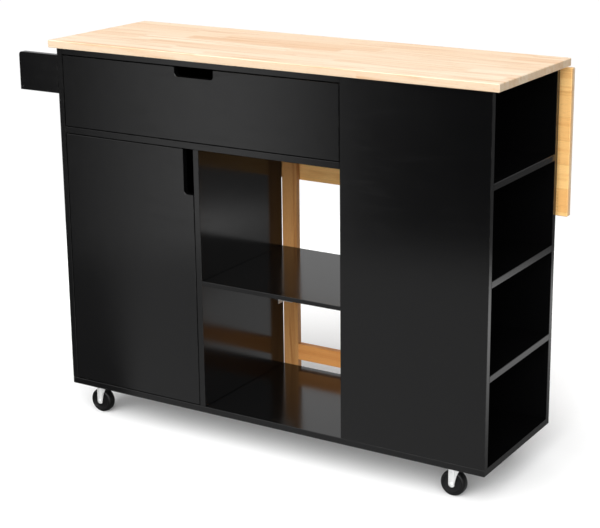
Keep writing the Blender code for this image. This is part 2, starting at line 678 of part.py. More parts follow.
def make_wheel(word, x, y):
    """Tyre with rounded shoulders, a recessed web and a hub, bored for the axle."""
    bore, half = AXLE_R + AXLE_PLAY, WHEEL_W / 2
    profile = [(bore, HUB_HALF_W), (HUB_R, HUB_HALF_W), (HUB_R + WHEEL_DRAFT, WEB_HALF_W),
               (WEB_R, WEB_HALF_W), (WEB_R + WHEEL_DRAFT, half), (WHEEL_R - TYRE_EDGE, half)]
    profile += arc((WHEEL_R - TYRE_EDGE, half - TYRE_EDGE), TYRE_EDGE, 90, 0, 3)[1:]
    profile += [(radius, -height) for radius, height in reversed(profile)]
    profile.append(profile[0])
    turned(f"caster_wheel_{word}", profile, place(x - CASTER_TRAIL, y, AXLE_Z), "black_plastic",
           axis="y", steps=32)


def main():
    make_carcass()
    make_shelves()
    make_worktop()
    make_slides(*make_drawer())
    make_door()
    for word, z in DOOR_HINGES.items():
        make_door_hinge(word, z)
    make_drop_leaf()
    for word, offset in LEAF_HINGES.items():
        make_leaf_hinge(word, (TOP_X0 + TOP_X1) / 2 + offset)
    make_gate_leg()
    for word, z in GATE_HINGES.items():
        make_gate_hinge(word, z)
    make_rack()
    for word, x, y in caster_spots():
        make_caster_plate(word, x, y)
        make_fork(word, x, y)
        make_wheel(word, x, y)


main()
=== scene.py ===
"""Looks of the kitchen island cart: finishes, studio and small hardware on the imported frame.

Lengths are in metres, in the frame: x to the right, y to the rear and z up from the floor.
"""
import math

import bmesh
import bpy
from mathutils import Matrix, Vector


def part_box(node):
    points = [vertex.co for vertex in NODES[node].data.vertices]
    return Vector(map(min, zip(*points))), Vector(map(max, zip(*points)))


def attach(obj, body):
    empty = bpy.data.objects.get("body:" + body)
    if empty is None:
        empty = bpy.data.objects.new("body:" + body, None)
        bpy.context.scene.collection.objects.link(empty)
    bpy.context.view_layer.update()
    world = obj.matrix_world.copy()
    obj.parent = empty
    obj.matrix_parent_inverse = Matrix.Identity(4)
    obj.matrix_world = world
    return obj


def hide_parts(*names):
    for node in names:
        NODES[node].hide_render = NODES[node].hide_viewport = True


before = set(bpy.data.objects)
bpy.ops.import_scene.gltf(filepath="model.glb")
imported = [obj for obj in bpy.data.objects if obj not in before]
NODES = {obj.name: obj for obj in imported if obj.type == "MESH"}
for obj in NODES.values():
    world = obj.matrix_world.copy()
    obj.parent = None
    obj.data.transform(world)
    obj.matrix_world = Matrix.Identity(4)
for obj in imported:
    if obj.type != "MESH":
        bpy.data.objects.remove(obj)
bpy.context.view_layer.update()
SCENE = bpy.context.scene
SPOTS = ("front_left", "rear_left", "front_right", "rear_right")


# ---- node graphs ---------------------------------------------------------------------------------
class Graph:
    """Short calls for the nodes of one tree. A value is a socket, a number or a tuple."""

    def __init__(self, tree):
        self.tree = tree

    def put(self, socket, value):
        """Link a socket to the value, or set it."""
        if hasattr(value, "is_output"):
            self.tree.links.new(value, socket)
        else:
            socket.default_value = value

    def math(self, operation, *values):
        node = self.tree.nodes.new("ShaderNodeMath")
        node.operation = operation
        for socket, value in zip(node.inputs, values):
            self.put(socket, value)
        return node.outputs[0]

    def split(self, vector):
        node = self.tree.nodes.new("ShaderNodeSeparateXYZ")
        self.put(node.inputs[0], vector)
        return list(node.outputs)

    def join(self, x, y, z):
        node = self.tree.nodes.new("ShaderNodeCombineXYZ")
        for socket, value in zip(node.inputs, (x, y, z)):
            self.put(socket, value)
        return node.outputs[0]

    def vector(self, operation, first, second):
        node = self.tree.nodes.new("ShaderNodeVectorMath")
        node.operation = operation
        self.put(node.inputs[0], first)
        self.put(node.inputs[1], second)
        return node.outputs["Value"] if operation == "DOT_PRODUCT" else node.outputs[0]

    def noise(self, vector, scale, detail=3.0, roughness=0.5, distortion=0.0):
        node = self.tree.nodes.new("ShaderNodeTexNoise")
        self.put(node.inputs["Vector"], vector)
        node.inputs["Scale"].default_value = scale
        node.inputs["Detail"].default_value = detail
        node.inputs["Roughness"].default_value = roughness
        node.inputs["Distortion"].default_value = distortion
        return node.outputs["Fac"]

    def random(self, vector):
        """A random number and a random colour for each place."""
        node = self.tree.nodes.new("ShaderNodeTexWhiteNoise")
        node.noise_dimensions = "3D"
        self.put(node.inputs["Vector"], vector)
        return node.outputs["Value"], node.outputs["Color"]

    def spread(self, value, low, high, out_low=0.0, out_high=1.0):
        """Smooth step from low to high."""
        node = self.tree.nodes.new("ShaderNodeMapRange")
        node.interpolation_type = "SMOOTHSTEP"
        self.put(node.inputs[0], value)
        for socket, number in zip(node.inputs[1:5], (low, high, out_low, out_high)):
            socket.default_value = number
        return node.outputs[0]

    def mix(self, share, first, second, blend="MIX"):
        node = self.tree.nodes.new("ShaderNodeMix")
        node.data_type = "RGBA"
        node.blend_type = blend
        self.put(node.inputs[0], share)
        for socket, value in zip(node.inputs[6:8], (first, second)):
            self.put(socket, (*value, 1.0) if isinstance(value, tuple) else value)
        return node.outputs[2]

    def bump(self, height, strength, distance, under=None):
        node = self.tree.nodes.new("ShaderNodeBump")
        node.inputs["Strength"].default_value = strength
        node.inputs["Distance"].default_value = distance
        self.put(node.inputs["Height"], height)
        if under is not None:
            self.put(node.inputs["Normal"], under)
        return node.outputs[0]


class Surface(Graph):
    """One material's nodes, in the object's own coordinates."""

    def __init__(self, name):
        self.material = bpy.data.materials.new(name)
        self.material.use_nodes = True
        super().__init__(self.material.node_tree)
        self.shader = self.tree.nodes["Principled BSDF"]
        coordinates = self.tree.nodes.new("ShaderNodeTexCoord")
        self.place = coordinates.outputs["Object"]
        self.normal = coordinates.outputs["Normal"]

    def set(self, name, value):
        """Set one input of the material's shader."""
        socket = self.shader.inputs[name]
        self.put(socket, (*value, 1.0) if isinstance(value, tuple) and len(value) == 3 else value)

    def near_edge(self, low, high, width):
        """1 on the edges of the box from low to high, falling to 0 a width away."""
        x, y, z = [self.math("MINIMUM", self.math("SUBTRACT", value, a), self.math("SUBTRACT", b, value))
                   for value, a, b in zip(self.split(self.place), low, high)]
        second_least = self.math("MAXIMUM", self.math("MINIMUM", x, y),
                                 self.math("MINIMUM", self.math("MAXIMUM", x, y), z))
        return self.spread(second_least, 0.0, width, 1.0, 0.0)


PAINT = (0.0015, 0.0015, 0.0016)
PAINT_PALE = tuple(1.35 * part for part in PAINT)
PAINT_WORN = (0.060, 0.058, 0.055)
PAINT_DUST = (0.035, 0.034, 0.032)
EDGE_WEAR = 0.0011                     # how far in from an edge the rubbing shows


def paint(name, low, high, roughness=0.15, wear=0.35):
    """Satin black lacquer on fibreboard: faint orange peel, soft marks, edges rubbed a little."""
    g = Surface(name)
    cloud = g.noise(g.place, 5.0, detail=4.0, roughness=0.6)
    marks_place = g.vector("MULTIPLY", g.place, (9.0, 9.0, 70.0))
    marks = g.noise(marks_place, 1.0, detail=5.0, roughness=0.65, distortion=0.4)
    specks = g.noise(g.place, 380.0, detail=2.0)
    patches = g.spread(g.noise(g.place, 60.0, detail=5.0, roughness=0.7), 0.42, 0.66)
    rub = g.math("MULTIPLY", g.math("MULTIPLY", g.near_edge(low, high, EDGE_WEAR), patches), wear)
    dust = g.math("MULTIPLY", g.spread(specks, 0.66, 0.80), 0.10)
    tone = g.mix(dust, g.mix(cloud, PAINT, PAINT_PALE), PAINT_DUST)
    g.set("Base Color", g.mix(rub, tone, PAINT_WORN))
    rough = g.math("ADD", roughness - 0.030, g.math("MULTIPLY", cloud, 0.05))
    rough = g.math("ADD", rough, g.math("MULTIPLY", g.spread(marks, 0.5, 0.75), 0.035))
    g.set("Roughness", g.math("ADD", rough, g.math("MULTIPLY", rub, 0.25)))
    g.set("Specular IOR Level", 0.36)
    peel = g.bump(g.noise(g.place, 420.0, detail=2.0), 0.10, 0.0002)
    g.set("Normal", g.bump(g.noise(g.place, 26.0, detail=2.0, roughness=0.4), 0.10, 0.0004, peel))
    return g.material


FINGER_PITCH, FINGER_LENGTH = 0.0035, 0.011
SEAM, BUTT = 0.00045, 0.0006           # half widths of the glue lines beside and across the strips
END_GRAIN = (0.52, 0.41, 0.29)


def grey(level):
    return (level, level, level)


def wood(name, along, across, strip, length, light, dark, seed, start, end_tone=0.80, roughness=0.42,
         fingers=True, streaks=0.75, lean=(0.0, 0.0, 1.0), outside=None):
    """Finger-jointed rubberwood strips, cut into staves.

    along and across are axis numbers, and start is where one strip begins. lean is a share of the
    tone that runs from light to dark between two places across. outside gives other tones to the
    far half of a board: where that half begins, its light tone and its dark tone.
    """
    g = Surface(name)
    parts = g.split(g.place)
    u, v, w = parts[along], parts[across], parts[3 - along - across]
    row = g.math("DIVIDE", g.math("SUBTRACT", v, start), strip)
    row_number, in_row = g.math("FLOOR", row), g.math("FRACT", row)
    row_random, _ = g.random(g.join(row_number, seed, 3.7))
    run = g.math("ADD", g.math("DIVIDE", u, length), g.math("MULTIPLY", row_random, 7.0))
    if fingers:
        saw = g.math("PINGPONG", v, FINGER_PITCH)
        run = g.math("ADD", run, g.math("MULTIPLY", saw, FINGER_LENGTH / FINGER_PITCH / length))
    run_number, in_run = g.math("FLOOR", run), g.math("FRACT", run)
    tone_random, tone_colour = g.random(g.join(row_number, run_number, seed + 0.5))
    own_place = g.vector("MULTIPLY", tone_colour, grey(9.0))

    def grain(along_scale, cross_scale):
        """Places drawn out along the strip, and different in every stave."""
        stretched = g.join(g.math("MULTIPLY", u, along_scale), g.math("MULTIPLY", v, cross_scale),
                           g.math("MULTIPLY", w, cross_scale))
        return g.vector("ADD", stretched, own_place)

    def toned(base, share, tint):
        """The dark tone times a tint, laid over the base."""
        return g.mix(share, base, g.mix(1.0, dark, tint, "MULTIPLY"))

    def at_joint(fraction, reach):
        """1 at both ends of a fraction from 0 to 1, falling to 0 a reach away."""
        nearest = g.math("MINIMUM", fraction, g.math("SUBTRACT", 1.0, fraction))
        return g.spread(nearest, 0.0, reach, 1.0, 0.0)

    figure = g.noise(grain(2.8, 52.0), 1.0, detail=5.0, roughness=0.55, distortion=0.9)
    fibre = g.noise(grain(22.0, 620.0), 1.0, detail=3.0, roughness=0.6)
    pores = g.spread(g.noise(grain(85.0, 1500.0), 1.0, detail=1.0), 0.60, 0.70)
    cloud = g.noise(g.place, 3.0, detail=2.0)

    lean_share, lean_low, lean_high = lean
    tone = g.math("MULTIPLY", g.math("POWER", tone_random, 1.2), 1.0 - lean_share)
    tone = g.math("ADD", tone, g.math("MULTIPLY", g.spread(v, lean_low, lean_high), lean_share))
    if outside:
        middle, outer_light, outer_dark = outside
        far = g.spread(w, middle - 0.002, middle + 0.002)
        light, dark = g.mix(far, light, outer_light), g.mix(far, dark, outer_dark)

    base = g.mix(tone, light, dark)
    base = toned(base, g.math("MULTIPLY", g.spread(figure, 0.46, 0.70), streaks), (0.90, 0.80, 0.70))
    base = toned(base, g.math("MULTIPLY", g.spread(fibre, 0.45, 0.75), 0.22), grey(0.80))
    base = toned(base, g.math("MULTIPLY", pores, 0.30), grey(0.45))
    base = toned(base, g.math("MULTIPLY", g.spread(cloud, 0.4, 0.7), 0.12), grey(0.95))
    line = g.math("MAXIMUM", at_joint(in_row, SEAM / strip),
                  g.math("MULTIPLY", at_joint(in_run, BUTT / length), 0.8))
    base = toned(base, g.math("MULTIPLY", line, 0.45), grey(0.42))
    sawn = g.mix(0.35, g.mix(1.0, base, grey(end_tone), "MULTIPLY"), END_GRAIN)
    on_end = g.spread(g.math("ABSOLUTE", g.split(g.normal)[along]), 0.6, 0.9)
    g.set("Base Color", g.mix(on_end, base, sawn))
    rough = g.math("ADD", roughness, g.math("MULTIPLY", g.math("SUBTRACT", figure, 0.5), 0.16))
    g.set("Roughness", g.math("ADD", rough, g.math("MULTIPLY", on_end, 0.15)))
    g.set("Specular IOR Level", 0.24)
    relief = g.math("ADD", g.math("MULTIPLY", fibre, 0.35), g.math("MULTIPLY", figure, 0.30))
    relief = g.math("SUBTRACT", relief, g.math("MULTIPLY", pores, 0.45))
    relief = g.math("SUBTRACT", relief, g.math("MULTIPLY", line, 0.9))
    g.set("Normal", g.bump(relief, 0.22, 0.00025))
    return g.material


ZINC_DARK, ZINC_PALE, ZINC_DULL = (0.56, 0.57, 0.57), (0.70, 0.70, 0.69), (0.36, 0.36, 0.35)


def zinc(name, roughness=0.26):
    """Bright zinc plate with a faint spangle, rolling lines and dull spots."""
    g = Surface(name)
    spangle = g.noise(g.place, 260.0, detail=3.0, roughness=0.6, distortion=0.6)
    rolling_place = g.vector("MULTIPLY", g.place, (60.0, 60.0, 2400.0))
    rolling = g.noise(rolling_place, 1.0, detail=3.0, roughness=0.6)
    dull = g.spread(g.noise(g.place, 90.0, detail=4.0, roughness=0.65), 0.48, 0.70)
    tone = g.mix(spangle, ZINC_DARK, ZINC_PALE)
    g.set("Base Color", g.mix(g.math("MULTIPLY", dull, 0.45), tone, ZINC_DULL))
    g.set("Metallic", 0.55)
    rough = g.math("ADD", roughness, g.math("MULTIPLY", dull, 0.16))
    g.set("Roughness", g.math("ADD", rough, g.math("MULTIPLY", rolling, 0.08)))
    g.set("Normal", g.bump(g.math("ADD", rolling, spangle), 0.10, 0.0001))
    return g.material


def moulded(name, colour=(0.012, 0.012, 0.013), roughness=0.42, scuff=0.30):
    """Moulded plastic: spark-eroded texture, paler scuffs."""
    g = Surface(name)
    scuffs = g.spread(g.noise(g.place, 130.0, detail=5.0, roughness=0.7, distortion=0.5), 0.55, 0.75)
    grain = g.noise(g.place, 1800.0, detail=2.0)
    scuffed = tuple(4.5 * part + 0.01 for part in colour)
    g.set("Base Color", g.mix(g.math("MULTIPLY", scuffs, scuff), colour, scuffed))
    g.set("Specular IOR Level", 0.22)
    rough = g.math("ADD", roughness - 0.05, g.math("MULTIPLY", grain, 0.10))
    g.set("Roughness", g.math("ADD", rough, g.math("MULTIPLY", scuffs, 0.15)))
    g.set("Normal", g.bump(grain, 0.20, 0.0001))
    return g.material


# ---- building pieces -----------------------------------------------------------------------------
SHARP_ANGLE = math.radians(38)
TURN = {                               # from +z to the way a turned or flat shape points
    "+z": Matrix.Identity(4), "-z": Matrix.Rotation(math.pi, 4, "X"),
    "+y": Matrix.Rotation(-math.pi / 2, 4, "X"), "-y": Matrix.Rotation(math.pi / 2, 4, "X"),
    "+x": Matrix.Rotation(math.pi / 2, 4, "Y"), "-x": Matrix.Rotation(-math.pi / 2, 4, "Y"),
}


def piece(name, shape, body, material, replaces=()):
    """Turn a bmesh into a named object that rides on a body."""
    bmesh.ops.recalc_face_normals(shape, faces=shape.faces)
    mesh = bpy.data.meshes.new(name)
    shape.to_mesh(mesh)
    shape.free()
    mesh.materials.append(material)
    item = bpy.data.objects.new(name, mesh)
    SCENE.collection.objects.link(item)
    mesh.shade_smooth()
    mesh.set_sharp_from_angle(angle=SHARP_ANGLE)
    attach(item, body)
    if replaces:
        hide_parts(*replaces)


def round_edges(shape, edges, radius):
    bmesh.ops.bevel(shape, geom=edges, offset=radius, segments=2, profile=0.5, affect="EDGES",
                    clamp_overlap=True)


def add_block(shape, low, high, radius):
    """A closed block with rounded edges."""
    low, high = Vector(low), Vector(high)
    made = bmesh.ops.create_cube(shape, size=1.0)["verts"]
    bmesh.ops.scale(shape, vec=high - low, verts=made)
    bmesh.ops.translate(shape, vec=(low + high) / 2, verts=made)
    round_edges(shape, list({edge for vert in made for edge in vert.link_edges}), radius)


def ring(shape, matrix, radius, height, count):
    """Vertices on a circle about the matrix's z axis."""
    turns = [2 * math.pi * step / count for step in range(count)]
    return [shape.verts.new(matrix @ Vector((radius * math.cos(turn), radius * math.sin(turn), height)))
            for turn in turns]


def join_rings(shape, first, second):
    """Faces between two rings of vertices, either of which may be a single point."""
    count = max(len(first), len(second))
    faces = []
    for s in range(count):
        t = (s + 1) % count
        corners = (first[s % len(first)], first[t % len(first)],
                   second[t % len(second)], second[s % len(second)])
        unique = list(dict.fromkeys(corners))
        faces.append(shape.faces.new(unique))
    return faces


def add_turned(shape, profile, centre, way, segments=32):
    """A closed turned solid.

    profile is a list of (radius, height), either from the axis back to the axis or a closed loop.
    """
    matrix = Matrix.Translation(centre) @ TURN[way]
    rings = []
    for radius, height in profile:
        if radius > 0:
            rings.append(ring(shape, matrix, radius, height, segments))
        else:
            rings.append([shape.verts.new(matrix @ Vector((0, 0, height)))])
    pairs = list(zip(rings, rings[1:]))
    if profile[0][0] > 0:
        pairs.append((rings[-1], rings[0]))
    for first, second in pairs:
        join_rings(shape, first, second)


def add_prism(shape, first, second):
    """A closed solid between two matching outlines. Its end faces come first in the list."""
    ends = [shape.faces.new(first), shape.faces.new(list(reversed(second)))]
    return ends + join_rings(shape, first, second)


def rounded_square(side, radius, steps=4):
    """A square outline with rounded corners."""
    points = []
    for cx, cy, start in ((1, 1, 0), (-1, 1, 90), (-1, -1, 180), (1, -1, 270)):
        points += arc(cx * (side / 2 - radius), cy * (side / 2 - radius), radius, start, start + 90, steps)
    return points


def arc(cx, cy, radius, start, end, steps):
    """Points on an arc between two angles in degrees."""
    turns = [math.radians(start + (end - start) * step / steps) for step in range(steps + 1)]
    return [(cx + radius * math.cos(turn), cy + radius * math.sin(turn)) for turn in turns]


def add_screw(shape, centre, way, radius=0.0038, height=0.0016, turn=0.3):
    """A pan-head screw with a cross recess, its head standing on centre."""
    matrix = Matrix.Translation(centre) @ TURN[way] @ Matrix.Rotation(turn, 4, "Z")
    count = 20
    loops = [ring(shape, matrix, across * radius, up * height, count)
             for across, up in ((1.0, 0.0), (0.97, 0.45), (0.80, 0.82), (0.62, 0.95))]
    for first, second in zip(loops, loops[1:]):
        join_rings(shape, first, second)
    shape.faces.new(list(reversed(loops[0])))

    arm, reach = 0.11 * radius, 0.48 * radius
    quarter = [(reach, -arm), (reach, arm), (arm, arm)]
    cross = []
    for _ in range(4):
        cross += quarter
        quarter = [(-y, x) for x, y in quarter]
    rim = [shape.verts.new(matrix @ Vector((x, y, height))) for x, y in cross]
    floor = [shape.verts.new(matrix @ Vector((x * 0.7, y * 0.7, height * 0.35))) for x, y in cross]
    rim_edges = [shape.edges.new(pair) for pair in zip(rim, rim[1:] + rim[:1])]
    crown = loops[-1]
    crown_edges = [shape.edges.get(pair) for pair in zip(crown, crown[1:] + crown[:1])]
    bmesh.ops.bridge_loops(shape, edges=rim_edges + crown_edges)
    join_rings(shape, rim, floor)
    shape.faces.new(floor)


def add_cap(shape, centre, way, radius=0.0062):
    """A thin pressed cover over a board fitting, with a dished middle."""
    add_turned(shape, [(0.0, -0.0002), (radius, -0.0002), (radius * 0.97, 0.0005), (radius * 0.80, 0.0009),
                       (radius * 0.45, 0.0007), (0.0, 0.0006)], centre, way, 28)


# ---- camera, light and floor ---------------------------------------------------------------------
CAMERA_PLACE = (1.9322, -3.0068, 1.5016)
CAMERA_RIGHT = Vector((0.866653332, 0.498910421, -0.000627311))
CAMERA_UP = Vector((-0.13056547, 0.22801743, 0.96486305))
CAMERA_LENS = 93.632
CAMERA_SHIFT = (-0.100, -0.075)


def make_camera():
    data = bpy.data.cameras.new("camera")
    camera = bpy.data.objects.new("camera", data)
    SCENE.collection.objects.link(camera)
    SCENE.camera = camera
    turn = Matrix((CAMERA_RIGHT, CAMERA_UP, CAMERA_RIGHT.cross(CAMERA_UP))).transposed().to_4x4()
    camera.matrix_world = Matrix.Translation(CAMERA_PLACE) @ turn
    data.sensor_width = 36.0
    data.lens = CAMERA_LENS
    data.shift_x, data.shift_y = CAMERA_SHIFT
    data.clip_start, data.clip_end = 0.05, 100.0


ROOM_LIGHT = 0.38
SOFT_LIGHTS = (                        # the way to each, and its strength
    ((-0.30, -0.80, 0.52), 0.35),
    ((0.24, -0.90, 0.36), 5.3),
    ((-0.45, 0.80, 0.40), 0.35),
)
SCREEN_LIGHT = 1.6
LOW_REAR_LIGHT = 0.16


def left_of_front(g, x, y, from_x=0.0):
    """Degrees to the left of straight ahead of the cart, seen from a point on its long axis."""
    return g.math("DEGREES", g.math("ARCTAN2", g.math("SUBTRACT", from_x, x), g.math("MULTIPLY", y, -1.0)))


def make_world():
    """Camera rays see plain white; light and reflections come from a soft studio."""
    world = bpy.data.worlds.new("studio")
    SCENE.world = world
    world.use_nodes = True
    tree = world.node_tree
    tree.nodes.clear()
    g = Graph(tree)
    direction = tree.nodes.new("ShaderNodeTexCoord").outputs["Generated"]
    x, y, z = g.split(direction)
    light = g.math("MULTIPLY", g.spread(z, -0.02, 0.20), ROOM_LIGHT)
    for aim, strength in SOFT_LIGHTS:
        lobe = g.math("MAXIMUM", g.vector("DOT_PRODUCT", direction, aim), 0.0)
        lobe = g.math("MULTIPLY", g.math("POWER", lobe, 3.0), g.spread(z, -0.05, 0.20, 0.0, strength))
        light = g.math("ADD", light, lobe)
    # a bright screen low in front and to the left, which the front faces mirror
    turn = left_of_front(g, x, y)
    screen = g.math("MULTIPLY", g.spread(turn, 35.5, 41.5, 1.0, 0.0), g.spread(turn, 29.5, 34.5))
    screen = g.math("MULTIPLY", screen, g.spread(z, -0.08, 0.0, SCREEN_LIGHT, 0.0))
    light = g.math("ADD", light, screen)
    # a dim glow below the horizon at the rear and the right
    low_rear = g.math("MAXIMUM", g.spread(x, 0.10, 0.40), g.spread(y, 0.10, 0.40))
    low_rear = g.math("MULTIPLY", low_rear, g.spread(z, -0.03, 0.02, LOW_REAR_LIGHT, 0.0))
    light = g.math("ADD", light, low_rear)
    studio = tree.nodes.new("ShaderNodeBackground")
    g.put(studio.inputs["Strength"], light)
    backdrop = tree.nodes.new("ShaderNodeBackground")
    backdrop.inputs["Strength"].default_value = 1.02
    for node in (studio, backdrop):
        node.inputs["Color"].default_value = (1.0, 1.0, 1.0, 1.0)
    path = tree.nodes.new("ShaderNodeLightPath")
    choose = tree.nodes.new("ShaderNodeMixShader")
    tree.links.new(path.outputs["Is Camera Ray"], choose.inputs[0])
    tree.links.new(studio.outputs[0], choose.inputs[1])
    tree.links.new(backdrop.outputs[0], choose.inputs[2])
    out = tree.nodes.new("ShaderNodeOutputWorld")
    tree.links.new(choose.outputs[0], out.inputs[0])


FLOOR_RADIUS = 2.4


def floor_white():
    """Pale matt floor that fades out round the cart, with a painted glow that only glossy rays see, which the
    lacquer shows as a painted reflection, and a painted glow behind the cart.
    """
    g = Surface("floor_white")
    soft = g.noise(g.place, 3.0, detail=3.0)
    x, y, _ = g.split(g.place)
    distance = g.math("SQRT", g.math("ADD", g.math("MULTIPLY", x, x), g.math("MULTIPLY", y, y)))
    glossy = g.tree.nodes.new("ShaderNodeLightPath").outputs["Is Glossy Ray"]
    lit = g.math("SUBTRACT", 1.0, glossy)
    white = g.math("MULTIPLY", g.spread(soft, 0.0, 1.0, 0.90, 0.93), lit)
    g.set("Base Color", g.join(white, white, white))
    g.set("Roughness", g.math("ADD", 0.62, g.math("MULTIPLY", soft, 0.10)))
    g.set("Specular IOR Level", 0.0)
    g.set("Alpha", g.spread(distance, 1.60, 2.25, 1.0, 0.0))
    # a painted glow that only glossy rays see, shown in the lacquer as painted reflections: brighter ahead of
    # the screen and just beyond the right end
    front = g.spread(left_of_front(g, x, y, -0.18), 36.5, 43.5, 0.62, 0.13)
    right = g.math("MULTIPLY", g.spread(x, 0.70, 1.15, 0.25, 1.4), g.spread(x, 1.35, 2.00, 1.0, 0.12))
    rear = g.spread(y, 0.25, 0.60, 0.0, 0.34)
    right_share = g.spread(x, 0.50, 0.75)
    front = g.math("MULTIPLY", front, g.math("SUBTRACT", 1.0, right_share))
    right = g.math("MULTIPLY", right, right_share)
    painted_reflection = g.math("MAXIMUM", front, g.math("MAXIMUM", right, rear))
    # a painted glow on the floor behind the cart, seen by all other rays, that brings it to plain white
    behind = g.math("MULTIPLY", g.spread(y, 0.20, 0.60, 0.0, 0.16), lit)
    g.set("Emission Color", (1.0, 1.0, 1.0))
    g.set("Emission Strength", g.math("ADD", g.math("MULTIPLY", painted_reflection, glossy), behind))
    return g.material


def make_floor():
    mesh = bpy.data.meshes.new("floor")
    shape = bmesh.new()
    bmesh.ops.create_circle(shape, cap_ends=True, segments=96, radius=FLOOR_RADIUS)
    shape.to_mesh(mesh)
    shape.free()
    floor = bpy.data.objects.new("floor", mesh)
    SCENE.collection.objects.link(floor)
    mesh.materials.append(floor_white())


def make_light():
    """A weak large light overhead, aimed at the middle of the cart."""
    data = bpy.data.lights.new("overhead", "AREA")
    data.shape = "RECTANGLE"
    data.size, data.size_y = 2.6, 2.0
    data.energy = 4.0
    light = bpy.data.objects.new("overhead", data)
    SCENE.collection.objects.link(light)
    light.location = (-0.3, -1.1, 2.9)
    light.rotation_euler = (Vector((0.0, 0.0, 0.4)) - light.location).to_track_quat("-Z", "Y").to_euler()


SCENE.view_settings.view_transform = "Standard"
SCENE.view_settings.look = "None"
make_camera()
make_world()
make_floor()
make_light()

# ---- finishes of the CAD nodes -------------------------------------------------------------------
BOARDS = (
    "bottom_panel", "left_side_panel", "cupboard_divider", "niche_back_wall", "front_right_panel",
    "rear_right_panel", "drawer_deck", "front_top_rail", "rear_top_rail", "niche_shelf_lower",
    "niche_shelf_middle", "niche_shelf_upper", "open_bay_shelf", "cupboard_shelf", "drawer_front",
    "drawer_left_side", "drawer_right_side", "drawer_back", "door_panel", "rack_front_plate",
    "rack_rear_plate", "rack_bottom_board", "rack_outer_rail",
)
BACKS = ("cupboard_back_board", "drawer_bay_back_board", "drawer_bottom")
METAL_WORDS = ("hinge_cup", "hinge_arm", "leaf_hinge", "gate_hinge_fixed", "gate_hinge_moving", "slide_",
               "caster_plate", "caster_fork")
X, Y, Z = 0, 1, 2
TOP_LIGHT, TOP_DARK = (0.81, 0.69, 0.53), (0.72, 0.46, 0.27)
# the leaf's inside tones: the worktop's wood, more orange as painted shade with painted warm bounce light
LEAF_PAINTED_SHADE_LIGHT, LEAF_PAINTED_SHADE_DARK = (0.93, 0.60, 0.24), (0.80, 0.41, 0.13)
GATE_LIGHT, GATE_DARK = (0.86, 0.46, 0.17), (0.66, 0.27, 0.07)
STAVE = 0.42                           # length of one stave between finger joints
TOP_STRIPS = 8                         # strips across the depth of the worktop
LEAF_STRIP, LEAF_SEAM = 0.055, 0.642   # width of a strip, and the height of one seam
GATE_BARS = (                          # the way its grain runs, and a scale on its tones that is painted shade, lower for a bar that lies in more shade
    ("gate_hinge_stile", Z, 0.72), ("gate_free_stile", Z, 0.88),
    ("gate_bottom_rail", X, 1.0), ("gate_top_rail", X, 0.70),
)
WHOLE_WIDTH, WHOLE_LENGTH = 0.2, 3.0   # larger than any gate bar, so that each is one stave


def finish(node, material):
    item = NODES[node]
    if not item.material_slots:
        item.data.materials.append(material)
    item.material_slots[0].material = material


def finish_top():
    low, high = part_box("worktop")
    finish("worktop", wood("worktop_wood", X, Y, (high.y - low.y) / TOP_STRIPS, STAVE, TOP_LIGHT, TOP_DARK,
                           seed=1.0, start=low.y, end_tone=0.74, lean=(0.35, low.y + 0.05, high.y)))


def finish_leaf():
    """The worktop's wood inside, in orange tones that are painted shade with painted warm bounce light, and
    the worktop's tones on the face that shows when the leaf hangs.
    """
    low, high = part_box("drop_leaf")
    finish("drop_leaf", wood("leaf_wood", X, Z, LEAF_STRIP, STAVE, LEAF_PAINTED_SHADE_LIGHT, LEAF_PAINTED_SHADE_DARK, seed=5.0,
                             start=LEAF_SEAM, outside=((low.y + high.y) / 2, TOP_LIGHT, TOP_DARK)))


def finish_gate_bar(bar, along, painted_shade_scale):
    low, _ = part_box(bar)
    across = X + Z - along
    # the bar's tones are scaled down as painted shade, most on the top rail and the hinge stile
    finish(bar, wood(f"wood_{bar}", along, across, WHOLE_WIDTH, WHOLE_LENGTH,
                     tuple(painted_shade_scale * part for part in GATE_LIGHT), tuple(painted_shade_scale ** 2 * part for part in GATE_DARK),
                     seed=9.0 + along + low.x, start=low[across] - 0.05, end_tone=0.78, roughness=0.46,
                     fingers=False, streaks=0.85))


for board in BOARDS:
    finish(board, paint(f"paint_{board}", *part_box(board)))
for board in BACKS:
    finish(board, paint(f"paint_{board}", *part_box(board), roughness=0.42, wear=0.3))
finish_top()
finish_leaf()
for gate_bar in GATE_BARS:
    finish_gate_bar(*gate_bar)

ZINC, BLACK_PLASTIC = zinc("zinc_bright"), moulded("black_plastic")
for node_name in NODES:
    if any(word in node_name for word in METAL_WORDS):
        finish(node_name, ZINC)
    if "caster_wheel" in node_name:
        finish(node_name, BLACK_PLASTIC)

# ---- casters -------------------------------------------------------------------------------------
# Outlines are in x from the kingpin and z from the floor, and profiles are radius and height.
ZINC_PLATE, ZINC_FORK = zinc("zinc_caster_plate", 0.40), zinc("zinc_caster_fork", 0.42)
WHEEL_BLACK = moulded("wheel_black", (0.0025, 0.0025, 0.0027), 0.46, 0.12)
PLATE_SIDE, PLATE_CORNER, PLATE_THICK = 0.042, 0.004, 0.0021
PLATE_SCREW = 0.0155                   # from the kingpin to a screw, along x and along y
RACE_Z = 0.0744                        # where the fork's crown begins
CHEEK = 0.0127                         # from the wheel's middle to the inside of the fork


def middle(node):
    low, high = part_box(node)
    return (low + high) / 2


def outward(side):
    return "+y" if side > 0 else "-y"


def add_slab(shape, outline, y0, y1, round_, x):
    """A closed plate with an outline in x and z, its outer rims rounded."""
    first, second = [[shape.verts.new((px + x, y, pz)) for px, pz in outline] for y in (y0, y1)]
    faces = add_prism(shape, first, second)
    bmesh.ops.recalc_face_normals(shape, faces=faces)
    if round_:
        round_edges(shape, [edge for face in faces[:2] for edge in face.edges], round_)


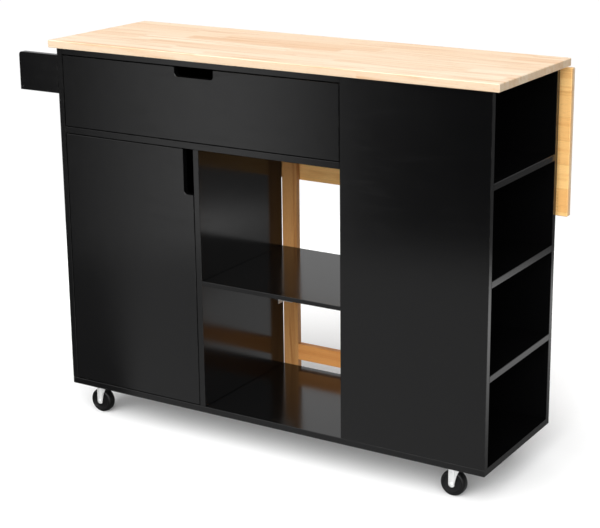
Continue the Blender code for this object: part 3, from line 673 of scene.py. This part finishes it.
def make_plate(spot, x, y, top):
    """The mounting plate with its race, kingpin and four screws."""
    plate = bmesh.new()
    outline = rounded_square(PLATE_SIDE, PLATE_CORNER)
    turned = Matrix.Translation((x, y, top)) @ TURN["-z"]
    upper, lower = [[plate.verts.new(turned @ Vector((px, py, depth))) for px, py in outline]
                    for depth in (0.0, PLATE_THICK)]
    ends = add_prism(plate, upper, lower)[:2]
    round_edges(plate, [edge for face in ends for edge in face.edges], 0.0004)
    add_turned(plate, [(0.0, 0.0), (0.0128, 0.0), (0.0122, 0.0007), (0.0095, 0.0012), (0.0, 0.0012)],
               (x, y, top - PLATE_THICK), "-z", 40)
    add_turned(plate, [(0.0, 0.0), (0.0040, 0.0), (0.0040, 0.0072), (0.0075, 0.0074), (0.0074, 0.0092),
                       (0.0055, 0.0101), (0.0, 0.0103)], (x, y, top - 0.0018), "-z", 32)
    for sx in (-1, 1):
        for sy in (-1, 1):
            add_screw(plate, (x + sx * PLATE_SCREW, y + sy * PLATE_SCREW, top - PLATE_THICK), "-z",
                      0.0036, 0.0014, 0.5 + sx + 2.1 * sy)
    piece(f"caster_plate_pressed_{spot}", plate, "cabinet", ZINC_PLATE,
          (f"caster_plate_{spot}",))


def make_fork(spot, x, y, axle):
    """The pressed fork: crown, bridge, two cheeks with folded strips, and the riveted axle."""
    fork = bmesh.new()
    trail = x - axle.x
    add_turned(fork, [(0.0046, 0.0), (0.0046, 0.0019), (0.0100, 0.0019), (0.0115, 0.0012), (0.0150, 0.0012),
                      (0.0160, 0.0006), (0.0160, 0.0)], (x, y, RACE_Z), "+z", 44)
    add_turned(fork, [(0.0108, 0.0), (0.0108, 0.0015), (0.0130, 0.0020), (0.0146, 0.0010), (0.0146, 0.0)],
               (x, y, RACE_Z - 0.0002), "-z", 40)
    bridge = [(-0.0275, 0.0722), (-0.0275, 0.0738), (-0.0262, 0.0750), (-0.0120, 0.0750),
              (-0.0120, 0.0722)]
    add_slab(fork, bridge, y - 0.0143, y + 0.0143, 0.0, x)
    lip = [(-0.0122, 0.0345), (-0.0104, 0.0425), (-0.0076, 0.0510), (-0.0040, 0.0600), (0.0002, 0.0680),
           (0.0040, 0.0732)]
    web = [(0.0040, 0.0740), (-0.0262, 0.0740), (-0.0280, 0.0720), (-0.0280, axle.z)]
    web += arc(-trail, axle.z, 0.0080, 180, 335, 10)[1:] + lip
    strip = [(-0.0272, 0.0710), (-0.0272, axle.z)] + arc(-trail, axle.z, 0.0072, 180, 360, 12)[1:]
    strip += [(-0.0128, 0.0710)]
    wing = [(0.0030, 0.0722), (-0.0104, 0.0722), (-0.0104, 0.0450)]
    wing += [(px - 0.0006, pz) for px, pz in lip[2:-1]]
    layers = ((web, CHEEK, 0.0139, 0.0004), (strip, 0.0134, 0.0151, 0.0006), (wing, 0.0134, 0.0147, 0.0004))
    for side in (-1, 1):
        for outline, inner, outer, round_ in layers:
            near, far = y + side * inner, y + side * outer
            add_slab(fork, outline, min(near, far), max(near, far), round_, x)
        add_turned(fork, [(0.0, 0.0), (0.0046, 0.0), (0.0045, 0.0007), (0.0034, 0.0014), (0.0016, 0.0017),
                          (0.0, 0.0017)], (axle.x, y + side * 0.0146, axle.z), outward(side), 28)
    add_turned(fork, [(0.0, -0.0145), (0.0030, -0.0145), (0.0030, 0.0145), (0.0, 0.0145)],
               (axle.x, y, axle.z), "+y", 24)
    piece(f"caster_fork_pressed_{spot}", fork, f"caster_fork_{spot}", ZINC_FORK,
          (f"caster_fork_{spot}",))


def make_wheel(spot, y, axle):
    """The moulded wheel: hub, recessed disc, rim groove and rounded tread, with three small studs."""
    wheel = bmesh.new()
    half = [(0.0034, 0.0118), (0.0066, 0.0118), (0.0073, 0.0113), (0.0078, 0.0086), (0.0100, 0.0080),
            (0.0185, 0.0080), (0.0205, 0.0086), (0.0212, 0.0100), (0.0220, 0.0108), (0.0238, 0.0110),
            (0.0241, 0.0104), (0.0247, 0.0104), (0.0250, 0.0110), (0.0268, 0.0107), (0.0284, 0.0095),
            (0.0295, 0.0074), (0.0299, 0.0040), (0.0300, 0.0012)]
    other_half = [(radius, -height) for radius, height in reversed(half)]
    add_turned(wheel, half + other_half, (axle.x, y, axle.z), "+y", 72)
    for side in (-1, 1):
        for stud_x, stud_z in arc(axle.x, axle.z, 0.0145, 40, 280, 2):
            add_turned(wheel, [(0.0, 0.0), (0.0016, 0.0), (0.0014, 0.0003), (0.0, 0.0003)],
                       (stud_x, y + side * 0.00795, stud_z), outward(side), 16)
    piece(f"caster_wheel_moulded_{spot}", wheel, f"caster_wheel_{spot}", WHEEL_BLACK,
          (f"caster_wheel_{spot}",))


for caster_spot in SPOTS:
    kingpin, axle_place = middle(f"caster_plate_{caster_spot}"), middle(f"caster_wheel_{caster_spot}")
    plate_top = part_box(f"caster_plate_{caster_spot}")[1].z
    make_plate(caster_spot, kingpin.x, kingpin.y, plate_top)
    make_fork(caster_spot, kingpin.x, kingpin.y, axle_place)
    make_wheel(caster_spot, kingpin.y, axle_place)

# ---- screws, pins and caps -----------------------------------------------------------------------
ZINC_SCREWS = zinc("zinc_screws", 0.30)
CAP_BLACK = moulded("cap_black", (0.004, 0.004, 0.0042), 0.34, 0.15)
LEAF_SCREWS = (-0.021, 0.0, 0.021)     # along the leaf hinge, from its middle
GATE_SCREWS = (0.009, 0.035, 0.061)    # up the gate hinge, from its foot
DOOR_SCREWS = (-0.017, 0.017)          # up and down from the middle of the hinge's arm
GAP = 0.0003                           # between neighbouring boards
CAP_Y = (-0.140, 0.110)                # the side panel's caps, front and rear
NAIL_HEAD = ((0.0, -0.0002), (0.0016, -0.0002), (0.0015, 0.0003), (0.0009, 0.0005), (0.0, 0.0006))
NAIL_STEP, NAIL_RISE = 0.095, 0.105    # about how far apart nails are, along and up a back board


def screw_row(name, body, places, way, radius, height, turn, more_turn):
    """One piece of several screws, each turned on a little from the last."""
    screws = bmesh.new()
    for number, place in enumerate(places):
        add_screw(screws, place, way, radius, height, turn + more_turn * number)
    piece(name, screws, body, ZINC_SCREWS)


def leaf_hinge_screws(word):
    low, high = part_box(f"leaf_hinge_moving_{word}")
    centre = (low.x + high.x) / 2
    places = [(centre + offset, high.y - 0.0012, low.z + 0.0075) for offset in LEAF_SCREWS]
    screw_row(f"leaf_hinge_screws_moving_{word}", "leaf", places, "-y", 0.0034, 0.0013, 0.2, 0.7)
    low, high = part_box(f"leaf_hinge_fixed_{word}")
    places = [(centre + offset, low.y + 0.0040, high.z - 0.0012) for offset in LEAF_SCREWS]
    screw_row(f"leaf_hinge_screws_fixed_{word}", "cabinet", places, "-z", 0.0030, 0.0012, 0.5, 0.9)


def gate_hinge_screws(word):
    low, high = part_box(f"gate_hinge_fixed_{word}")
    places = [(low.x + 0.0012, low.y + 0.0085, low.z + height) for height in GATE_SCREWS]
    screw_row(f"gate_hinge_screws_fixed_{word}", "cabinet", places, "+x", 0.0032, 0.0012, 0.4, 0.8)
    low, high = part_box(f"gate_hinge_moving_{word}")
    places = [(high.x - 0.0085, high.y - 0.0012, low.z + height) for height in GATE_SCREWS]
    screw_row(f"gate_hinge_screws_moving_{word}", "gate_leg", places, "-y", 0.0032, 0.0012, 0.1, 0.6)


def door_hinge_screws(word):
    """Two screws through the base plate and one through the arm."""
    low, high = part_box(f"door_hinge_arm_{word}")
    centre = (low.z + high.z) / 2
    screws = bmesh.new()
    for offset in DOOR_SCREWS:
        add_screw(screws, (low.x + 0.0015, low.y + 0.0280, centre + offset), "+x")
    add_screw(screws, (low.x + 0.0130, low.y + 0.0400, centre), "+x", 0.0034, 0.0012, 0.9)
    piece(f"door_hinge_screws_{word}", screws, "cabinet", ZINC_SCREWS)


def shelf_pins(shelf):
    """Four pins in the walls beside a loose shelf, each with a flat tongue under the board."""
    low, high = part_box(shelf)
    pins = bmesh.new()
    for wall, way, side in ((low.x - GAP, "+x", 1), (high.x + GAP, "-x", -1)):
        near, far = sorted((wall + side * 0.0013, wall + side * 0.0088))
        for y in (low.y + 0.045, high.y - 0.045):
            add_turned(pins, [(0.0, 0.0), (0.0045, 0.0), (0.0042, 0.0010), (0.0026, 0.0012), (0.0025, 0.0085),
                              (0.0018, 0.0092), (0.0, 0.0092)], (wall, y, low.z - 0.0050), way, 24)
            add_block(pins, (near, y - 0.0030, low.z - 0.0026), (far, y + 0.0030, low.z - 0.0002), 0.0004)
    piece(f"shelf_pins_{shelf}", pins, "cabinet", CAP_BLACK)


def slide_screws(word, side):
    low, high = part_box(f"slide_rail_{word}")
    face, way = (low.x, "-x") if side < 0 else (high.x, "+x")
    screws = bmesh.new()
    for y in (low.y + 0.030, low.y + 0.140, high.y - 0.030):
        add_screw(screws, (face, y, (low.z + high.z) / 2), way, 0.0036, 0.0006, 10.0 * y)
    piece(f"slide_screws_{word}", screws, "drawer", ZINC_SCREWS)


def board_caps():
    """Covers over the fittings at the ends of the boards, on the left side and the rear panel."""
    low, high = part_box("left_side_panel")
    caps = bmesh.new()
    for z in (low.z + 0.030, middle("drawer_deck").z, high.z - 0.0075):
        for y in CAP_Y:
            add_cap(caps, (low.x, y, z), "-x")
    piece("side_panel_caps", caps, "cabinet", CAP_BLACK)

    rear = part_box("rear_right_panel")[1].y
    caps = bmesh.new()
    for word in ("lower", "middle", "upper"):
        low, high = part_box(f"niche_shelf_{word}")
        for x in (low.x + 0.050, high.x - 0.060):
            add_cap(caps, (x, rear, (low.z + high.z) / 2), "+y")
    piece("rear_panel_caps", caps, "cabinet", CAP_BLACK)


def rack_caps():
    low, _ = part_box("rack_front_plate")
    caps = bmesh.new()
    for y, way in ((low.y, "-y"), (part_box("rack_rear_plate")[1].y, "+y")):
        add_cap(caps, (low.x + 0.0080, y, low.z + 0.0075), way, 0.0030)
    piece("rack_screw_caps", caps, "cabinet", CAP_BLACK)


def back_nails(board, inset=0.006):
    """Small nails all round a back board."""
    low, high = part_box(board)
    width, height = high.x - low.x, high.z - low.z
    columns, rows = max(2, round(width / NAIL_STEP)), max(2, round(height / NAIL_RISE))
    places = [(low.x + inset + (width - 2 * inset) * i / columns, z) for i in range(columns + 1)
              for z in (low.z + inset, high.z - inset)]
    places += [(x, low.z + inset + (height - 2 * inset) * i / rows) for i in range(1, rows)
               for x in (low.x + inset, high.x - inset)]
    nails = bmesh.new()
    for x, z in places:
        add_turned(nails, NAIL_HEAD, (x, high.y, z), "+y", 14)
    piece(f"{board}_nails", nails, "cabinet", ZINC_SCREWS)


for hinge in ("left", "right"):
    leaf_hinge_screws(hinge)
for hinge in ("lower", "upper"):
    gate_hinge_screws(hinge)
    door_hinge_screws(hinge)
for loose_shelf in ("open_bay_shelf", "cupboard_shelf"):
    shelf_pins(loose_shelf)
slide_screws("left", -1)
slide_screws("right", 1)
board_caps()
rack_caps()
for back in ("cupboard_back_board", "drawer_bay_back_board"):
    back_nails(back)
